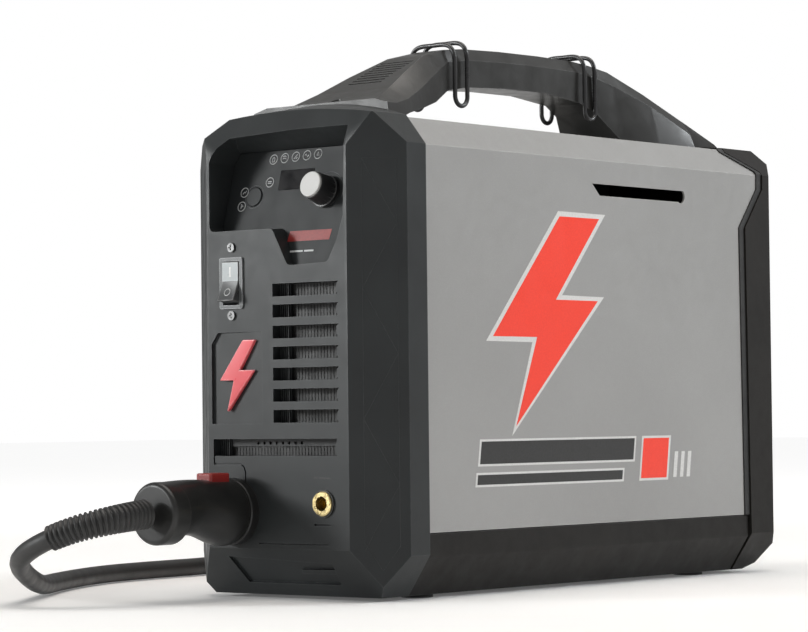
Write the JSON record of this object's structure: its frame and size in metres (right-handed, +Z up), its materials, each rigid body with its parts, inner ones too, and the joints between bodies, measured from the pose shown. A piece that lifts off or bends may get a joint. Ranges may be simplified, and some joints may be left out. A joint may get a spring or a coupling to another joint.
{
  "type": "plasma cutter",
  "caption": "Portable plasma cutter in a handled housing, with recessed controls, louvred front, wire hangers and a coiled torch lead that ends in a hand torch.",
  "frame": {"origin": "floor level, centre of the housing's footprint", "axes": "-Y is the front with the controls, +Z up, +X the side with the large decal, +Y the rear with the connections"},
  "size_m": [0.4082, 0.5784, 0.364],
  "materials": {
    "bezel_grey": "fine grain, satin",
    "base_dark": "fine grain, satin",
    "handle_dark": "satin",
    "cover_paint": "satin silver-grey paint",
    "seal_rubber": "matte",
    "wire_steel": "bright plated wire",
    "screw_steel": "zinc plated",
    "overlay": "fine texture",
    "window": "gloss",
    "button_soft": "satin",
    "knob_black": "satin",
    "knob_white": "satin",
    "metal_part": "turned",
    "rocker_grey": "satin",
    "frame_grey": "satin",
    "emblem_red": "gloss",
    "socket_black": "satin",
    "brass": "polished",
    "plated_steel": "zinc plated sheet",
    "alu": "extruded",
    "black_case": "moulded",
    "board_green": "solder mask",
    "can_sleeve": "shrink sleeve",
    "ferrite": "sintered",
    "copper_wire": "enamelled",
    "bowl_clear": "clear polycarbonate",
    "hose_blue": "matte",
    "lead_rubber": "matte",
    "button_red": "satin",
    "torch_black": "fine grain",
    "trigger_red": "satin",
    "safety_yellow": "satin",
    "copper_tip": "turned"
  },
  "bodies": {
    "housing": {"front_bezel": "bezel_grey", "rear_bezel": "base_dark", "rear_screws": "screw_steel", "base_pan": "base_dark", "feet": "seal_rubber", "cover": "cover_paint", "cover_gasket": "seal_rubber", "handle": "handle_dark", "handle_screws": "screw_steel", "wire_hangers": "wire_steel", "control_panel": "overlay", "display_window": "window", "encoder": "metal_part", "switch_frame": "frame_grey", "switch_screws": "screw_steel", "emblem": "emblem_red", "vent_strip": "plated_steel", "torch_receptacle": "socket_black", "work_bush": "socket_black", "work_socket": "brass", "centre_panel": "plated_steel", "heatsink": "alu", "power_modules": "black_case", "power_board": "board_green", "bus_capacitors": "can_sleeve", "transformer_core": "ferrite", "transformer_winding": "copper_wire", "inductor_core": "ferrite", "inductor_winding": "copper_wire", "fan_housing": "black_case", "air_inlet": "brass", "filter_head": "alu", "filter_bowl": "bowl_clear", "pressure_regulator": "alu", "gas_valve": "brass", "air_hose": "hose_blue", "cord_gland": "black_case", "port_cover": "base_dark"},
    "knob": {"adjust_knob": "knob_black", "knob_cap": "knob_white", "knob_shaft": "metal_part"},
    "mode_button": {"mode_button": "button_soft"},
    "rocker": {"switch_rocker": "rocker_grey"},
    "fan": {"fan_rotor": "black_case"},
    "torch_lead": {"plug_body": "torch_black", "strain_relief": "lead_rubber", "torch_lead_front": "lead_rubber", "torch_lead_rear": "lead_rubber", "torch_lead_coil": "lead_rubber", "coil_tie": "torch_black", "torch_shell_upper": "torch_black", "torch_shell_lower": "torch_black", "torch_screws": "screw_steel", "torch_head": "torch_black", "retaining_cap": "torch_black", "drag_shield": "copper_tip"},
    "plug_button": {"plug_button": "button_red"},
    "torch_trigger": {"torch_trigger": "trigger_red"},
    "torch_safety": {"torch_safety": "safety_yellow"},
    "drain_valve": {"drain_valve": "brass"}
  },
  "joints": [
    {"name": "knob_turn", "type": "hinge", "parent": "housing", "child": "knob", "pos_m": [0.0275, -0.19798, 0.25267], "axis": [0, -0.9649, 0.2625], "continuous": true},
    {"name": "mode_press", "type": "slide", "parent": "housing", "child": "mode_button", "axis": [0, 0.9649, -0.2625], "range_m": [0, 0.0006], "stiffness_N_per_m": 800},
    {"name": "power_rock", "type": "hinge", "parent": "housing", "child": "rocker", "pos_m": [-0.037, -0.2155, 0.198], "axis": [1, 0, 0], "range_deg": [0, 24]},
    {"name": "fan_spin", "type": "hinge", "parent": "housing", "child": "fan", "pos_m": [0, 0.162, 0.168], "axis": [0, 1, 0], "continuous": true},
    {"name": "plug_slide", "type": "slide", "parent": "housing", "child": "torch_lead", "axis": [0, -1, 0], "range_m": [0, 0.04]},
    {"name": "plug_release", "type": "slide", "parent": "torch_lead", "child": "plug_button", "axis": [0, 0, -1], "range_m": [0, 0.0025], "stiffness_N_per_m": 800},
    {"name": "trigger_press", "type": "hinge", "parent": "torch_lead", "child": "torch_trigger", "pos_m": [-0.121, 0.038, 0.0175], "axis": [0, 0, -1], "range_deg": [0, 8], "stiffness_Nm_per_rad": 0.2},
    {"name": "safety_lift", "type": "hinge", "parent": "torch_lead", "child": "torch_safety", "pos_m": [-0.121, 0.004, 0.0175], "axis": [0, 0, 1], "range_deg": [0, 22], "stiffness_Nm_per_rad": 0.1},
    {"name": "drain_press", "type": "slide", "parent": "housing", "child": "drain_valve", "axis": [0, 0, 1], "range_m": [0, 0.002], "stiffness_N_per_m": 800}
  ]
}
